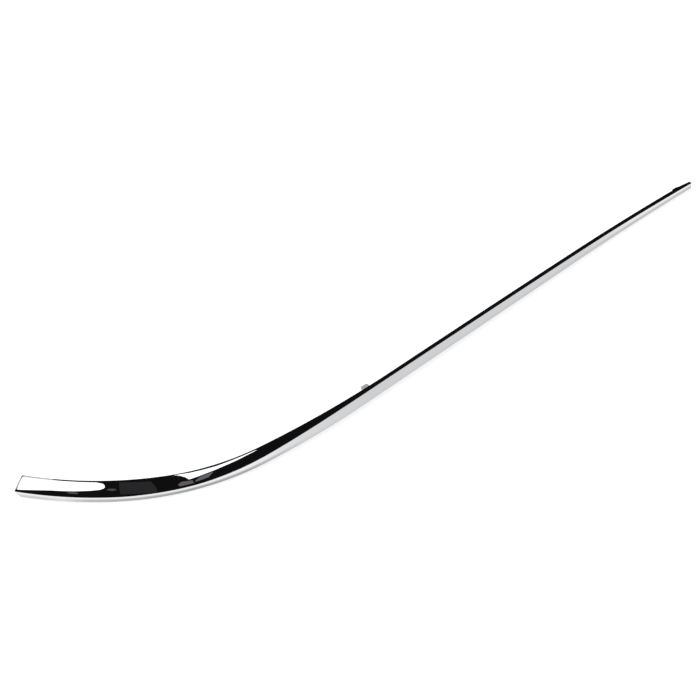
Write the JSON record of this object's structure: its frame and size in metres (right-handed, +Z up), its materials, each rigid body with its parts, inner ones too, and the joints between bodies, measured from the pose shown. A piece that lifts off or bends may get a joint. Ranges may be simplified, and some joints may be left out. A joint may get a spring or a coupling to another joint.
{
  "type": "bumper chrome trim",
  "caption": "Long curved chrome-plated trim strip for a bumper, wide at one end and narrow along its straight run, with ribs, snap hooks, a tongue and an ear behind.",
  "frame": {"origin": "under the middle of the strip's box, on the floor that its lip stands on", "axes": "+X along the straight run towards the narrow end, +Y to the rear, where the tongue, ear and hooks are, +Z up out of the flange"},
  "size_m": [0.8034, 0.153, 0.0159],
  "materials": {
    "chrome": "polished"
  },
  "bodies": {
    "root": {"bumper_trim": "chrome"}
  },
  "joints": []
}
